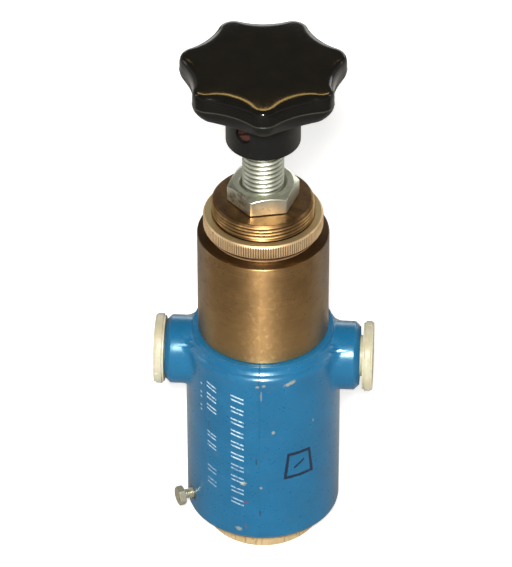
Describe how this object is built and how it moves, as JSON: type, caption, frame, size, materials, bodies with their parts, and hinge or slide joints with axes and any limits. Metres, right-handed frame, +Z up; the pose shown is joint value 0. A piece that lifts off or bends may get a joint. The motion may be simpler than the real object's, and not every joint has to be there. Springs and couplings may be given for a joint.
{
  "type": "flow control valve",
  "caption": "Upright hand-set flow control valve: round painted body with two side ports, bronze spring housing, threaded cap with lock ring, spindle with locknut and a lobed star knob.",
  "frame": {"origin": "centre of the bottom plug's lower face, on the spindle axis", "axes": "+Z up along the spindle towards the knob, +X out of the outlet port, -X out of the inlet port"},
  "size_m": [0.084, 0.0612, 0.2172],
  "materials": {
    "blue_paint": "semi-gloss paint over steel",
    "bronze": "satin, turned",
    "dark_bronze": "tarnished, turned",
    "ring_brass": "satin, knurled",
    "plug_brass": "turned, lightly stained",
    "zinc_steel": "zinc plated",
    "yellow_zinc": "yellow passivated zinc",
    "bright_steel": "ground",
    "spring_steel": "oiled",
    "rusty_steel": "rusted",
    "black_phenolic": "gloss top, matt underside",
    "ivory_plastic": "translucent polyethylene",
    "black_rubber": "matt"
  },
  "bodies": {
    "housing": {"valve_body": "blue_paint", "spring_bonnet": "bronze", "bonnet_cap": "dark_bronze", "bottom_plug": "plug_brass", "plug_seal": "black_rubber", "bonnet_seal": "black_rubber", "seat_ring": "bright_steel", "seat_seal": "black_rubber", "guide_bush": "bronze", "rod_seal": "black_rubber", "return_spring": "spring_steel", "compensator_spring": "spring_steel"},
    "compensator": {"compensator_piston": "bright_steel", "piston_seal": "black_rubber"},
    "plunger_unit": {"throttle_plunger": "bright_steel", "spring_plate": "zinc_steel", "thrust_ball": "bright_steel", "plate_retaining_ring": "spring_steel"},
    "spindle_unit": {"spindle": "zinc_steel", "star_knob": "black_phenolic", "knob_insert": "plug_brass", "knob_grub_screw": "rusty_steel"},
    "locknut_unit": {"spindle_locknut": "zinc_steel"},
    "ring_unit": {"lock_ring": "ring_brass"},
    "inlet_plug_unit": {"inlet_port_plug": "ivory_plastic"},
    "outlet_plug_unit": {"outlet_port_plug": "ivory_plastic"},
    "lock_screw_unit": {"plug_lock_screw": "yellow_zinc"}
  },
  "joints": [
    {"name": "plunger_slide", "type": "slide", "parent": "housing", "child": "plunger_unit", "axis": [0, 0, 1], "range_m": [-0.006, 0.004], "deforming": ["return_spring"]},
    {"name": "spindle_turn", "type": "hinge", "parent": "plunger_unit", "child": "spindle_unit", "pos_m": [0, 0, 0.182], "axis": [0, 0, 1], "range_deg": [-1080, 720]},
    {"name": "compensator_slide", "type": "slide", "parent": "housing", "child": "compensator", "axis": [0, 0, 1], "range_m": [-0.004, 0.004], "stiffness_N_per_m": 1500, "deforming": ["compensator_spring"]},
    {"name": "locknut_turn", "type": "hinge", "parent": "housing", "child": "locknut_unit", "pos_m": [0, 0, 0.1594], "axis": [0, 0, 1], "range_deg": [0, 60]},
    {"name": "lock_ring_turn", "type": "hinge", "parent": "housing", "child": "ring_unit", "pos_m": [0, 0, 0.1445], "axis": [0, 0, 1], "range_deg": [0, 30]},
    {"name": "inlet_plug_pull", "type": "slide", "parent": "housing", "child": "inlet_plug_unit", "axis": [-1, 0, 0], "range_m": [0, 0.02]},
    {"name": "outlet_plug_pull", "type": "slide", "parent": "housing", "child": "outlet_plug_unit", "axis": [1, 0, 0], "range_m": [0, 0.02]},
    {"name": "lock_screw_travel", "type": "slide", "parent": "housing", "child": "lock_screw_unit", "axis": [-0.9063, -0.4226, 0], "range_m": [-0.0015, 0.004]}
  ],
  "couplings": [
    {"joint": "spindle_turn", "follows": "plunger_slide", "rad_per_m": 3141.6}
  ]
}
